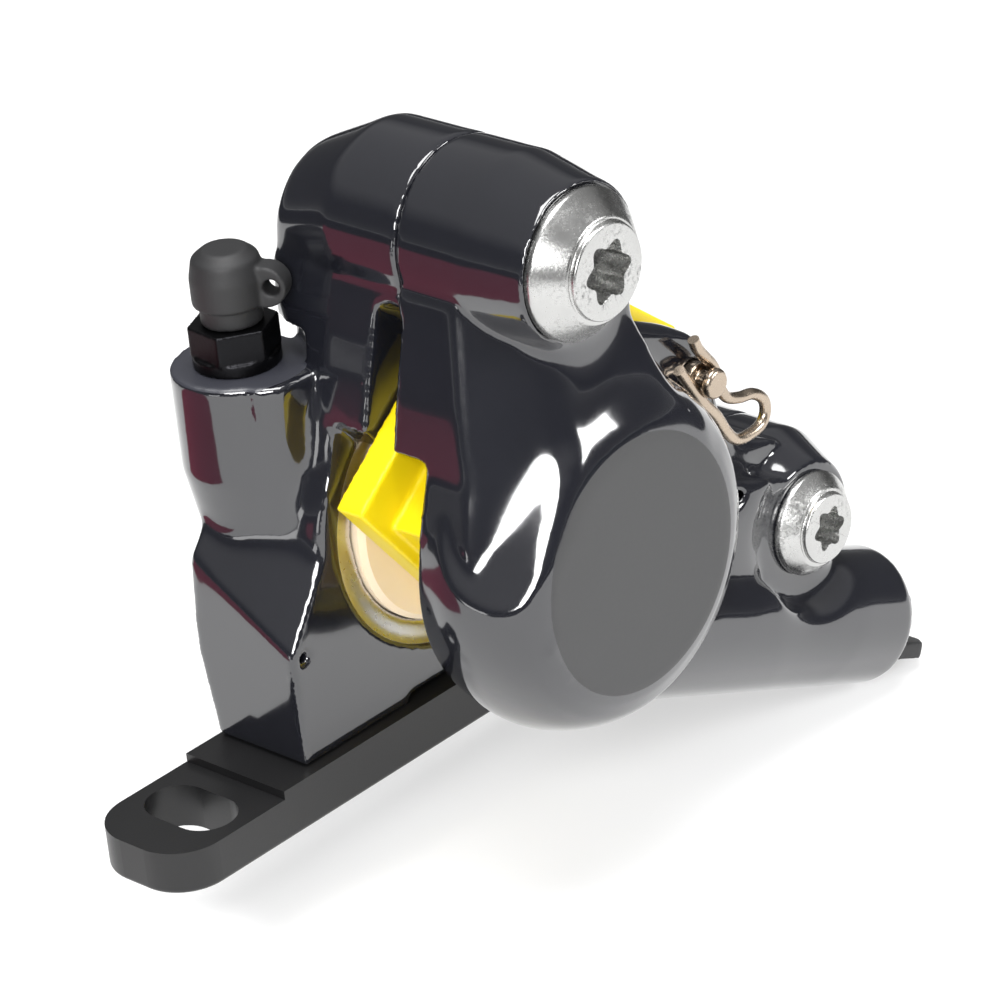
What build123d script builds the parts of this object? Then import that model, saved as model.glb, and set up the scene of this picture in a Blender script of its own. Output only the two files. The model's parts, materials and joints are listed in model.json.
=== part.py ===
from build123d import *
import math
import os

# A two-piece hydraulic disc brake caliper on its flat mounting plate, in millimetres.
# X runs along the plate, towards the hose port. Y is the axis of the rotor: the half that is
# screwed to the plate lies towards +Y, the half by the wheel towards -Y. Z is up from the
# plate's underside, and the origin lies midway between the plate's two slots.

os.makedirs("parts", exist_ok=True)

# Fits and overruns
cut_overrun = 40.0
running_fit = 0.03
thread_fit = 0.02
slack = 0.1

# Rotor slot between the halves
rotor_centre_x = -49.0
rotor_centre_z = -16.0
rotor_slot_radius = 71.3
rotor_slot_near_y = -8.75
rotor_slot_far_y = -12.25
rotor_slot_round = 1.4
parting_y = -11.7

# Pistons and their bores
piston_x = -5.2
piston_z = 22.4
piston_radius = 11.0
piston_length = 9.4
piston_hollow_radius = 5.0
piston_floor = 2.4
piston_lip = 0.5
piston_retraction = 0.9
mount_wall_y = -4.9
wheel_wall_y = -16.1
spot_face_depth = 0.3
spot_face_radius = 13.35
piston_stand_out = 0.85
seal_width = 2.2
seal_thickness = 1.3
seal_depth = 3.0

# Pad pocket, in a frame along and across the line from the rotor's centre to the pistons
pad_angle = 38.0
pocket_outer_half_width = 13.5
pocket_inner_half_width = 17.2
pocket_step_along = -1.6
pocket_reach = 60.0

# Bleed spacer
spacer_thickness = 10.0
spacer_half_width = 12.35
spacer_inner_end = 7.5
spacer_outer_end = 22.8
spacer_slant_across = -4.0
spacer_slant_end = 19.0
spacer_play = 0.4
spacer_rib_thickness = 3.1
spacer_rib_half_width = 16.5
spacer_rib_inner_end = 8.7
spacer_rib_outer_end = 8.0

# Mounting plate
plate_half_length = 42.3
plate_half_width = 6.05
plate_corner_radius = 4.6
plate_tab_thickness = 4.1
plate_thickness = 4.9
plate_step_x = 29.5
plate_edge_radius = 0.5
slot_spacing = 70.0
slot_width = 5.7
slot_length = 9.3

# Fixing bolts from under the plate into the foot
fixing_bolt_xs = (-21.0, 13.0)
fixing_bolt_radius = 2.5
fixing_head_radius = 4.0
fixing_head_height = 2.6
fixing_head_gap = 0.2
fixing_bolt_top_z = 15.5
fixing_socket_width = 4.0
fixing_socket_depth = 1.6
counterbore_radius = 4.2

# Foot of the mount half
foot_near_x = -25.5
foot_far_x = 17.5
foot_far_top_z = 14.0
foot_outer_bottom_y = 5.9
foot_outer_y = 7.2
foot_flare_z = 13.0
foot_outer_top_z = 19.5
foot_back_y = 6.4
foot_top_z = 27.0
foot_facet_place = (-25.5, 3.5, 20.6)
foot_facet_direction_shares = (-0.78, -0.32, 0.53)
foot_relief_height = 0.8
foot_relief_half_length = 8.0
foot_relief_x = -4.0
foot_pin_hole_x = -24.0
foot_pin_hole_z = 15.1
foot_pin_hole_radius = 0.5
foot_pin_hole_depth = 3.0
foot_disc_x = -19.75
foot_disc_z = 11.95
foot_disc_radius = 2.5
foot_disc_height = 0.25

# Size that the outlines of the halves are counted in
outline_size = 11.0

# Piston housings
mount_housing_radius = 15.4
mount_housing_outer_y = 7.5
mount_housing_edge = 2.5
cap_radius = 11.6
cap_outer_y = -28.1
cap_rim_radius = 12.3
cap_step = 0.2

# Bridge barrels and body bolts
upper_bolt_x = -7.05
upper_bolt_z = 50.75
upper_barrel_x = -6.2
upper_barrel_z = 50.4
upper_barrel_radius = 8.35
upper_barrel_shoulder_y = -18.5
upper_boss_radius = 7.1
upper_boss_y = -25.9
upper_seat_depth = 0.5
upper_seat_radius = 6.85
upper_back_x = -6.9
upper_back_z = 49.0
upper_back_radius = 6.4
lower_bolt_x = 24.0
lower_bolt_z = 11.5
lower_barrel_radius = 7.9
lower_barrel_shoulder_y = -17.0
lower_boss_radius = 5.75
lower_boss_waist_radius = 6.7
lower_boss_waist_y = -19.5
lower_boss_y = -21.6
lower_back_y = 3.6
lower_back_bevel = 1.2
body_bolt_radius = 3.0
body_bolt_gap = 0.25
upper_bolt_end_y = -1.0
lower_bolt_end_y = -3.0
bolt_hole_spare = 1.0
upper_flange_radius = 6.65
upper_flange_edge = 0.7
upper_face_radius = 4.4
upper_face_y = -29.0
upper_socket_radius = 2.8
upper_socket_depth = 3.2
lower_flange_radius = 4.9
lower_flange_edge = 0.5
lower_face_radius = 3.45
lower_face_y = -24.1
lower_socket_radius = 2.1
lower_socket_depth = 2.4
bolt_face_edge = 0.35
socket_core_share = 0.74
socket_lobe_share = 0.24
socket_lobes = 6

# Neck between the upper barrel and the housing
neck_front_place = (-5.2, -26.9, 35.0)
neck_front_slope_share = 0.27
facet_place = (-13.2, -24.1, 37.2)
facet_direction_shares = (-0.651, -0.693, 0.31)
housing_facet_place = (-15.5, -27.9, 29.0)
housing_facet_direction_shares = (-0.76, -0.40, 0.51)
neck_crease_y = -3.5
neck_back_y = 4.2
arm_front_y = -19.0
arm_back_y = 3.6
web_front_y = -22.0

# Bleed tower and nipple
tower_x = -18.15
tower_y = 5.14
tower_radius = 6.0
tower_top_z = 38.8
tower_taper_z = 29.6
tower_waist_z = 24.1
tower_waist_radius = 5.1
tower_bottom_z = 19.5
tower_bottom_radius = 3.0
tower_web_bottom_z = 25.0
tower_face_radius = 6.25
tower_face_height = 2.7
spanner_room = 0.35
nipple_radius = 3.0
nipple_depth = 7.8
nipple_cone_height = 2.4
nipple_tip_radius = 1.3
nipple_collar_radius = 3.9
nipple_collar_height = 1.15
hex_width = 7.0
hex_height = 2.75
hex_turn = 24.2
nipple_stem_radius = 1.7
nipple_stem_height = 4.9
nipple_stem_edge = 0.4
nipple_bore_radius = 0.8
nipple_cross_radius = 0.55
bleed_passage_depth = 3.5

# Rubber cap on the nipple
cap_neck_radius = 2.75
cap_skirt_height = 1.8
cap_skirt_radius = 3.3
cap_shoulder_height = 4.3
cap_dome_radius = 2.95
cap_dome_height = 6.0
cap_height = 6.8
cap_top_radius = 1.95
ear_reach = 3.6
ear_radius = 1.9
ear_hole_radius = 0.75
ear_thickness = 2.2
ear_height = 3.5
ear_turn = -62.0
ear_hole_share = 0.3

# Pad axle and its clip
axle_x = 13.05
axle_z = 30.1
axle_radius = 1.5
axle_end_y = -22.0
axle_end_radius = 1.4
axle_end_width = 0.9
axle_groove_width = 1.2
axle_groove_radius = 0.8
axle_head_radius = 3.0
axle_head_height = 1.8
axle_slot_width = 0.9
axle_slot_depth = 0.8
axle_end_edge = 0.25
clip_wire_radius = 0.55

# Hose port
port_x = 34.5
port_y = -18.3
port_z = -3.8
port_angle = 22.9
port_radius = 6.5
port_length = 34.5
port_bore_radius = 4.0
port_bore_depth = 11.5
port_end_edge = 0.9
port_drill_radius = 1.25
port_drill_depth = 18.5
plug_radius = 3.9
plug_flange_radius = 5.4
plug_flange_height = 0.8
plug_grip_length = 5.4
plug_grip_half_width = 4.6
plug_grip_low = -3.4
plug_grip_thickness = 1.6
plug_grip_corner = 1.2
plug_hollow_radius = 2.6
plug_hollow_depth = 7.5
plug_end_gap = 0.5

# Fluid passages
passage_radius = 0.8
crossing_x = 18.3
crossing_z = 17.5
crossing_wheel_y = -20.0
crossing_mount_y = -0.5
ring_outer_radius = 2.5
ring_wire_radius = 0.6
ring_groove_gap = 0.05
wheel_chamber_place = (3.5, -25.3, 20.0)
wheel_port_chamber_place = (1.8, -25.3, 15.0)
mount_chamber_place = (4.2, 4.3, 20.5)
bleed_chamber_place = (-14.5, 4.4, 25.0)

# Places that follow from the sizes above
mount_bore_face_y = mount_wall_y + spot_face_depth
wheel_bore_face_y = wheel_wall_y - spot_face_depth
mount_piston_face_y = mount_bore_face_y - piston_stand_out
wheel_piston_face_y = wheel_bore_face_y + piston_stand_out
mount_bore_bottom_y = mount_piston_face_y + piston_length + piston_retraction
wheel_bore_bottom_y = wheel_piston_face_y - piston_length - piston_retraction
mount_seal_y = mount_bore_face_y + seal_depth
wheel_seal_y = wheel_bore_face_y - seal_depth
seal_outer_radius = piston_radius + running_fit + seal_thickness
spacer_y = (mount_wall_y + wheel_wall_y) / 2
nipple_bottom_z = tower_top_z - nipple_depth
bleed_passage_z = nipple_bottom_z - bleed_passage_depth
hex_bottom_z = tower_top_z + nipple_collar_height
hex_top_z = hex_bottom_z + hex_height
nipple_stem_top_z = hex_top_z + nipple_stem_height
cap_skirt_z = hex_top_z + cap_skirt_height
cap_shoulder_z = hex_top_z + cap_shoulder_height
cap_dome_z = hex_top_z + cap_dome_height
cap_top_z = hex_top_z + cap_height
ear_z = hex_top_z + ear_height
axle_groove_y = axle_end_y + axle_end_width + axle_groove_width / 2
pad_direction = Vector(math.cos(math.radians(pad_angle)), 0, math.sin(math.radians(pad_angle)))
port_direction = Vector(math.cos(math.radians(port_angle)), 0, -math.sin(math.radians(port_angle)))
port_up = Vector(math.sin(math.radians(port_angle)), 0, math.cos(math.radians(port_angle)))
port_end = Vector(port_x, port_y, port_z)

# Outlines of the halves as shares of their own size, counted from the piston's axis
neck_shares = (
    (-1.40, 0.10), (-1.33, 0.56), (-1.19, 0.99), (-1.07, 1.51), (-0.85, 2.33), (-0.10, 2.95),
    (0.56, 2.16), (0.50, 1.88), (0.61, 1.51), (0.77, 1.07), (0.93, 0.71), (0.90, -0.30), (-0.90, -0.60),
)
arm_shares = (
    (0.30, 1.55), (1.11, 1.42), (1.46, 1.23), (1.69, 1.07), (1.86, 0.85), (1.91, 0.65),
    (2.15, -0.06), (2.65, -0.30), (2.65, -1.68), (1.30, -1.55), (0.30, -1.20),
)
web_shares = (
    (0.40, 0.80), (1.40, -0.10), (2.15, -0.36), (2.65, -0.60), (2.50, -1.50), (1.30, -1.60),
    (0.20, -1.30),
)
body_shares = (
    (-1.41, 0.00), (-1.33, 0.21), (-1.25, 0.52), (-1.14, 1.00), (-1.01, 1.54), (-0.92, 1.84), (-0.79, 2.38),
    (-0.10, 2.95), (0.56, 2.16), (0.50, 1.88), (0.61, 1.51), (0.77, 1.07), (1.20, 0.60), (1.38, -0.60),
    (0.60, -1.30), (-0.80, -1.20),
)
body_back_shares = (
    (-1.25, 0.00), (-1.21, 0.21), (-1.12, 0.52), (-0.98, 1.00), (-0.85, 1.54), (-0.82, 1.84), (-0.76, 2.28),
    (-0.15, 2.69), (0.47, 2.05), (0.45, 1.82), (0.55, 1.51), (0.70, 1.07), (1.10, 0.60), (1.28, -0.60),
    (0.60, -1.20), (-0.80, -1.10),
)
housing_shares = (
    (1.22, 0.00), (1.36, 0.19), (1.46, 0.40), (1.50, 0.55), (1.46, 0.71), (1.39, 0.83), (1.27, 0.94),
)
tower_web_shares = ((-0.62, -0.90), (-0.35, -1.19), (0.00, -1.26), (0.58, -1.26), (0.70, 0.00), (-0.30, 0.50))
clip_shares = (
    (-0.77, 3.00), (-0.50, 2.33), (0.10, 1.50), (0.63, 0.80), (0.99, -0.03), (1.20, -1.00), (1.73, -1.80),
    (2.80, -2.27), (3.97, -2.53), (4.90, -3.27), (5.03, -4.13), (4.50, -4.80), (3.37, -5.00), (2.23, -4.80),
    (1.43, -3.93), (0.63, -2.53), (-0.37, -1.30), (-1.00, -0.30), (-1.67, 0.73), (-2.23, 1.60),
)


def face_at(y):
    """A sketch plane across the rotor's axis, with Z up and its normal towards -Y."""
    return Plane.XZ.offset(-y)


def profile_plane(x, z):
    """A sketch plane for profiles of radius against Y, round an axis along Y."""
    return Plane(origin=(x, 0, z), x_dir=(1, 0, 0), z_dir=(0, 0, 1))


def axis_at(x, z):
    """An axis along Y."""
    return Axis((x, 0, z), (0, 1, 0))


def outline(shares, unit, x, z):
    """The points of an outline whose shares of a unit are counted from a place."""
    return [(x + unit * along, z + unit * up) for along, up in shares]


def drilling(start, end, radius):
    """A round bar from one place to another."""
    reach = Vector(*end) - Vector(*start)
    bar = Cylinder(radius, reach.length, align=(Align.CENTER, Align.CENTER, Align.MIN), mode=Mode.PRIVATE)
    return Plane(origin=tuple(start), z_dir=reach) * bar


def bar_along_y(x, z, radius, low_y, high_y):
    """A round bar along Y."""
    return drilling((x, low_y, z), (x, high_y, z), radius)


def pad_block(inner, outer, half_width, low_y, high_y):
    """A block in the frame of the brake pads, from an inner to an outer distance along it."""
    block = Box(outer - inner, high_y - low_y, half_width * 2, mode=Mode.PRIVATE)
    middle = (inner + outer) / 2
    place = Plane(origin=(piston_x, (low_y + high_y) / 2, piston_z), x_dir=(1, 0, 0), z_dir=(0, 0, 1))
    return place * Rot(0, -pad_angle, 0) * Pos(middle, 0, 0) * block


def rotor_slot():
    """The slot that the rotor runs in, rounded at its rim."""
    disc = bar_along_y(rotor_centre_x, rotor_centre_z, rotor_slot_radius, rotor_slot_far_y, rotor_slot_near_y)
    return disc.fillet(rotor_slot_round, disc.edges().filter_by(GeomType.CIRCLE))


def nipple_seat():
    """The cone at the foot of the nipple's hole, a little larger than the nipple's own."""
    cone = Cone(nipple_tip_radius + running_fit, nipple_radius + running_fit, nipple_cone_height,
                align=(Align.CENTER, Align.CENTER, Align.MIN), mode=Mode.PRIVATE)
    return Pos(tower_x, tower_y, nipple_bottom_z) * cone


def pad_pocket():
    """The room for the pads, wider by the pistons than between the bridges."""
    wide = pad_block(-pocket_reach, pocket_step_along, pocket_inner_half_width, wheel_wall_y, mount_wall_y)
    narrow = pad_block(-pocket_reach, pocket_reach, pocket_outer_half_width, wheel_wall_y, mount_wall_y)
    return wide + narrow


# Mounting plate with its two slots and the recesses for the fixing bolts

with BuildPart() as mount_plate:
    with BuildSketch(Plane.XY):
        RectangleRounded(plate_half_length * 2, plate_half_width * 2, plate_corner_radius)
    extrude(amount=plate_tab_thickness)
    with BuildSketch(Plane.XY):
        Rectangle(plate_step_x * 2, plate_half_width * 2)
    extrude(amount=plate_thickness)
    with BuildSketch(Plane.XY):
        with Locations((-slot_spacing / 2, 0), (slot_spacing / 2, 0)):
            SlotOverall(slot_length, slot_width, rotation=90)
    extrude(amount=plate_thickness, mode=Mode.SUBTRACT)
    with BuildSketch(Plane.XY):
        with Locations([(x, 0) for x in fixing_bolt_xs]):
            Circle(fixing_bolt_radius + slack)
    extrude(amount=plate_thickness, mode=Mode.SUBTRACT)
    with BuildSketch(Plane.XY):
        with Locations([(x, 0) for x in fixing_bolt_xs]):
            Circle(counterbore_radius)
    extrude(amount=fixing_head_gap + fixing_head_height, mode=Mode.SUBTRACT)
    rim_edges = mount_plate.faces().sort_by(Axis.Z)[0].outer_wire().edges()
    fillet(rim_edges, plate_edge_radius)
mount_plate.part.label = "mount_plate"
export_step(mount_plate.part, "parts/mount_plate.step")


# Half by the wheel: neck, housing with its closed cap, bosses, arm for the axle and hose port

with BuildPart() as wheel_housing:
    housing_depth = parting_y - cap_outer_y
    with BuildSketch(profile_plane(piston_x, piston_z)):
        with BuildLine():
            side = Spline([
                (outline_size * out, parting_y - housing_depth * down) for out, down in housing_shares
            ])
            Polyline(
                side @ 1, (cap_rim_radius, cap_outer_y + cap_step),
                (cap_radius + cap_step, cap_outer_y + cap_step), (cap_radius, cap_outer_y),
                (0, cap_outer_y), (0, parting_y), side @ 0,
            )
        make_face()
    revolve(axis=axis_at(piston_x, piston_z))
    housing_facet = Plane(origin=housing_facet_place, z_dir=housing_facet_direction_shares)
    split(bisect_by=housing_facet, keep=Keep.BOTTOM)


with BuildPart() as wheel_half:
    with BuildSketch(face_at(parting_y)):
        with BuildLine():
            Polyline(outline(neck_shares, outline_size, piston_x, piston_z), close=True)
        make_face()
    extrude(amount=parting_y - cap_outer_y)
    split(bisect_by=Plane(origin=neck_front_place, z_dir=(0, -1, neck_front_slope_share)), keep=Keep.BOTTOM)
    split(bisect_by=Plane(origin=facet_place, z_dir=facet_direction_shares), keep=Keep.BOTTOM)
    add(wheel_housing.part)
    with BuildSketch(face_at(parting_y)):
        with Locations((upper_barrel_x, upper_barrel_z)):
            Circle(upper_barrel_radius)
    extrude(amount=parting_y - upper_barrel_shoulder_y)
    with BuildSketch(face_at(upper_barrel_shoulder_y)):
        with Locations((upper_barrel_x, upper_barrel_z)):
            Circle(upper_barrel_radius)
    with BuildSketch(face_at(upper_boss_y)):
        with Locations((upper_bolt_x, upper_bolt_z)):
            Circle(upper_boss_radius)
    loft()
    with BuildSketch(face_at(parting_y)):
        with BuildLine():
            Polyline(outline(arm_shares, outline_size, piston_x, piston_z), close=True)
        make_face()
    extrude(amount=parting_y - arm_front_y)
    with BuildSketch(face_at(parting_y)):
        with BuildLine():
            Polyline(outline(web_shares, outline_size, piston_x, piston_z), close=True)
        make_face()
    extrude(amount=parting_y - web_front_y)
    add(drilling(port_end - port_direction * port_length, port_end, port_radius))
    chamfer(wheel_half.faces().sort_by(Axis.X)[-1].outer_wire().edges(), port_end_edge)
    add(bar_along_y(lower_bolt_x, lower_bolt_z, lower_barrel_radius, lower_boss_y - cut_overrun,
                    lower_boss_y), mode=Mode.SUBTRACT)
    with BuildSketch(profile_plane(lower_bolt_x, lower_bolt_z)):
        with BuildLine():
            Polyline(
                (0, parting_y), (lower_barrel_radius, parting_y),
                (lower_barrel_radius, lower_barrel_shoulder_y), (lower_boss_waist_radius, lower_boss_waist_y),
                (lower_boss_radius, lower_boss_y), (0, lower_boss_y), close=True,
            )
        make_face()
    revolve(axis=axis_at(lower_bolt_x, lower_bolt_z))
    add(rotor_slot(), mode=Mode.SUBTRACT)
    add(pad_pocket(), mode=Mode.SUBTRACT)
    add(bar_along_y(piston_x, piston_z, spot_face_radius, wheel_bore_face_y, parting_y), mode=Mode.SUBTRACT)
    add(bar_along_y(piston_x, piston_z, piston_radius + running_fit, wheel_bore_bottom_y, parting_y),
        mode=Mode.SUBTRACT)
    add(bar_along_y(piston_x, piston_z, seal_outer_radius, wheel_seal_y - seal_width / 2,
                    wheel_seal_y + seal_width / 2), mode=Mode.SUBTRACT)
    add(bar_along_y(upper_bolt_x, upper_bolt_z, body_bolt_radius + body_bolt_gap, upper_boss_y, parting_y),
        mode=Mode.SUBTRACT)
    add(bar_along_y(upper_bolt_x, upper_bolt_z, upper_seat_radius, upper_boss_y,
                    upper_boss_y + upper_seat_depth), mode=Mode.SUBTRACT)
    add(bar_along_y(lower_bolt_x, lower_bolt_z, body_bolt_radius + body_bolt_gap, lower_boss_y, parting_y),
        mode=Mode.SUBTRACT)
    add(bar_along_y(axle_x, axle_z, axle_radius + running_fit, arm_front_y, parting_y), mode=Mode.SUBTRACT)
    add(drilling(port_end - port_direction * port_bore_depth, port_end, port_bore_radius),
        mode=Mode.SUBTRACT)
    add(drilling(port_end - port_direction * port_drill_depth, port_end, port_drill_radius),
        mode=Mode.SUBTRACT)
    add(drilling(port_end - port_direction * port_drill_depth, wheel_port_chamber_place, passage_radius),
        mode=Mode.SUBTRACT)
    add(drilling((crossing_x, crossing_wheel_y, crossing_z), wheel_chamber_place, passage_radius),
        mode=Mode.SUBTRACT)
    add(bar_along_y(crossing_x, crossing_z, passage_radius, crossing_wheel_y, parting_y), mode=Mode.SUBTRACT)
wheel_half.part.label = "wheel_half"
export_step(wheel_half.part, "parts/wheel_half.step")


# Half on the plate: foot, housing, bridge, arm for the axle and bleed tower

with BuildPart() as foot:
    with BuildSketch(face_at(mount_wall_y)):
        with BuildLine():
            Polyline(
                (foot_near_x, plate_thickness), (foot_near_x, foot_top_z), (piston_x, foot_top_z),
                (foot_far_x, foot_far_top_z), (foot_far_x, plate_thickness), close=True,
            )
        make_face()
    extrude(amount=mount_wall_y - mount_housing_outer_y)
    with BuildSketch(Plane.YZ.offset(foot_near_x - slack)):
        with BuildLine():
            Polyline(
                (mount_wall_y, plate_thickness), (foot_outer_bottom_y, plate_thickness),
                (foot_outer_y, foot_flare_z), (foot_outer_y, foot_outer_top_z), (foot_back_y, foot_top_z),
                (mount_wall_y, foot_top_z), close=True,
            )
        make_face()
    extrude(amount=foot_far_x - foot_near_x + slack * 2, mode=Mode.INTERSECT)
    split(bisect_by=Plane(origin=foot_facet_place, z_dir=foot_facet_direction_shares), keep=Keep.BOTTOM)


with BuildPart() as mount_half:
    add(foot.part)
    with BuildSketch(face_at(neck_crease_y)):
        with BuildLine():
            Polyline(outline(body_shares, outline_size, piston_x, piston_z), close=True)
        make_face()
    extrude(amount=neck_crease_y - parting_y)
    with BuildSketch(face_at(neck_crease_y)):
        with BuildLine():
            Polyline(outline(body_shares, outline_size, piston_x, piston_z), close=True)
        make_face()
    with BuildSketch(face_at(neck_back_y)):
        with BuildLine():
            Polyline(outline(body_back_shares, outline_size, piston_x, piston_z), close=True)
        make_face()
    loft(ruled=True)
    with BuildSketch(profile_plane(piston_x, piston_z)):
        with BuildLine():
            Polyline(
                (0, mount_wall_y), (mount_housing_radius, mount_wall_y),
                (mount_housing_radius, mount_housing_outer_y - mount_housing_edge),
                (mount_housing_radius - mount_housing_edge, mount_housing_outer_y),
                (0, mount_housing_outer_y), close=True,
            )
        make_face()
    revolve(axis=axis_at(piston_x, piston_z))
    add(bar_along_y(upper_barrel_x, upper_barrel_z, upper_barrel_radius, parting_y, neck_crease_y))
    with BuildSketch(face_at(neck_crease_y)):
        with Locations((upper_barrel_x, upper_barrel_z)):
            Circle(upper_barrel_radius)
    with BuildSketch(face_at(neck_back_y)):
        with Locations((upper_back_x, upper_back_z)):
            Circle(upper_back_radius)
    loft()
    with BuildSketch(face_at(arm_back_y)):
        with BuildLine():
            Polyline(outline(arm_shares, outline_size, piston_x, piston_z), close=True)
        make_face()
    extrude(amount=arm_back_y - parting_y)
    with BuildSketch(profile_plane(lower_bolt_x, lower_bolt_z)):
        with BuildLine():
            Polyline(
                (0, parting_y), (lower_barrel_radius, parting_y),
                (lower_barrel_radius, lower_back_y - lower_back_bevel),
                (lower_barrel_radius - lower_back_bevel, lower_back_y), (0, lower_back_y), close=True,
            )
        make_face()
    revolve(axis=axis_at(lower_bolt_x, lower_bolt_z))
    add(drilling((tower_x, tower_y, tower_top_z), (tower_x, tower_y, tower_top_z + tower_face_height),
                 tower_face_radius), mode=Mode.SUBTRACT)
    spanner_radius = hex_width / math.sqrt(3) + spanner_room
    add(drilling((tower_x, tower_y, tower_top_z), (tower_x, tower_y, tower_top_z + cut_overrun),
                 spanner_radius), mode=Mode.SUBTRACT)
    with BuildSketch(Plane(origin=(tower_x, tower_y, 0), x_dir=(1, 0, 0), z_dir=(0, -1, 0))):
        with BuildLine():
            Polyline(
                (0, tower_bottom_z), (tower_bottom_radius, tower_bottom_z),
                (tower_waist_radius, tower_waist_z), (tower_radius, tower_taper_z),
                (tower_radius, tower_top_z), (0, tower_top_z), close=True,
            )
        make_face()
    revolve(axis=Axis((tower_x, tower_y, 0), (0, 0, 1)))
    with BuildSketch(Plane.XY.offset(tower_web_bottom_z)):
        with BuildLine():
            Polyline(outline(tower_web_shares, tower_radius, tower_x, tower_y), close=True)
        make_face()
    extrude(amount=tower_top_z - tower_web_bottom_z)
    add(bar_along_y(foot_disc_x, foot_disc_z, foot_disc_radius, mount_wall_y - foot_disc_height,
                    mount_wall_y))
    with BuildSketch(Plane.XY):
        with Locations((0, -plate_half_width)):
            Rectangle(plate_half_length * 2, cut_overrun, align=(Align.CENTER, Align.MIN))
    extrude(amount=plate_thickness, mode=Mode.SUBTRACT)
    with BuildSketch(Plane.XY.offset(plate_thickness)):
        with Locations((foot_relief_x, 0)):
            Rectangle(foot_relief_half_length * 2, cut_overrun)
    extrude(amount=foot_relief_height, mode=Mode.SUBTRACT)
    add(rotor_slot(), mode=Mode.SUBTRACT)
    add(pad_pocket(), mode=Mode.SUBTRACT)
    add(bar_along_y(piston_x, piston_z, spot_face_radius, parting_y, mount_bore_face_y), mode=Mode.SUBTRACT)
    add(bar_along_y(piston_x, piston_z, piston_radius + running_fit, parting_y, mount_bore_bottom_y),
        mode=Mode.SUBTRACT)
    add(bar_along_y(piston_x, piston_z, seal_outer_radius, mount_seal_y - seal_width / 2,
                    mount_seal_y + seal_width / 2), mode=Mode.SUBTRACT)
    add(bar_along_y(foot_pin_hole_x, foot_pin_hole_z, foot_pin_hole_radius, mount_wall_y,
                    mount_wall_y + foot_pin_hole_depth), mode=Mode.SUBTRACT)
    add(bar_along_y(upper_bolt_x, upper_bolt_z, body_bolt_radius + thread_fit, parting_y,
                    upper_bolt_end_y + bolt_hole_spare), mode=Mode.SUBTRACT)
    add(bar_along_y(lower_bolt_x, lower_bolt_z, body_bolt_radius + thread_fit, parting_y,
                    lower_bolt_end_y + bolt_hole_spare), mode=Mode.SUBTRACT)
    add(bar_along_y(axle_x, axle_z, axle_radius + running_fit, parting_y, arm_back_y), mode=Mode.SUBTRACT)
    for bolt_x in fixing_bolt_xs:
        add(drilling((bolt_x, 0, plate_thickness), (bolt_x, 0, fixing_bolt_top_z + bolt_hole_spare),
                     fixing_bolt_radius + thread_fit), mode=Mode.SUBTRACT)
    add(drilling((tower_x, tower_y, nipple_bottom_z + nipple_cone_height), (tower_x, tower_y, tower_top_z),
                 nipple_radius + running_fit), mode=Mode.SUBTRACT)
    add(drilling((tower_x, tower_y, bleed_passage_z), (tower_x, tower_y, tower_top_z), passage_radius),
        mode=Mode.SUBTRACT)
    add(nipple_seat(), mode=Mode.SUBTRACT)
    add(drilling((tower_x, tower_y, bleed_passage_z), bleed_chamber_place, passage_radius),
        mode=Mode.SUBTRACT)
    add(bar_along_y(crossing_x, crossing_z, passage_radius, parting_y, crossing_mount_y), mode=Mode.SUBTRACT)
    add(bar_along_y(crossing_x, crossing_z, ring_outer_radius + ring_groove_gap, parting_y,
                    parting_y + ring_wire_radius * 2), mode=Mode.SUBTRACT)
    add(drilling((crossing_x, crossing_mount_y, crossing_z), mount_chamber_place, passage_radius),
        mode=Mode.SUBTRACT)
mount_half.part.label = "mount_half"
export_step(mount_half.part, "parts/mount_half.step")


# Pistons: closed cups whose open ends face the pads

piston_faces = (
    ("mount_side_piston", mount_piston_face_y, 1),
    ("wheel_side_piston", wheel_piston_face_y, -1),
)
for label, face_y, side in piston_faces:
    with BuildPart() as piston:
        with BuildSketch(profile_plane(piston_x, piston_z)):
            with BuildLine():
                Polyline(
                    (0, face_y + side * piston_length), (piston_radius, face_y + side * piston_length),
                    (piston_radius, face_y + side * piston_lip), (piston_radius - piston_lip, face_y),
                    (piston_hollow_radius, face_y),
                    (piston_hollow_radius, face_y + side * (piston_length - piston_floor)),
                    (0, face_y + side * (piston_length - piston_floor)), close=True,
                )
            make_face()
        revolve(axis=axis_at(piston_x, piston_z))
    piston.part.label = label
    export_step(piston.part, "parts/" + label + ".step")


# Square seals in the bores' grooves

for label, seal_y in (("mount_side_seal", mount_seal_y), ("wheel_side_seal", wheel_seal_y)):
    with BuildPart() as seal:
        with BuildSketch(profile_plane(piston_x, piston_z)):
            with Locations((piston_radius + running_fit + seal_thickness / 2, seal_y)):
                Rectangle(seal_thickness - running_fit, seal_width - running_fit)
        revolve(axis=axis_at(piston_x, piston_z))
    seal.part.label = label
    export_step(seal.part, "parts/" + label + ".step")


# Ring that seals the fluid crossing between the halves

with BuildPart() as crossing_ring:
    with BuildSketch(profile_plane(crossing_x, crossing_z)):
        with Locations((ring_outer_radius - ring_wire_radius, parting_y + ring_wire_radius)):
            Circle(ring_wire_radius)
    revolve(axis=axis_at(crossing_x, crossing_z))
crossing_ring.part.label = "crossing_ring"
export_step(crossing_ring.part, "parts/crossing_ring.step")


# Body bolts that hold the halves together, with six-lobed sockets in coned heads

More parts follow.
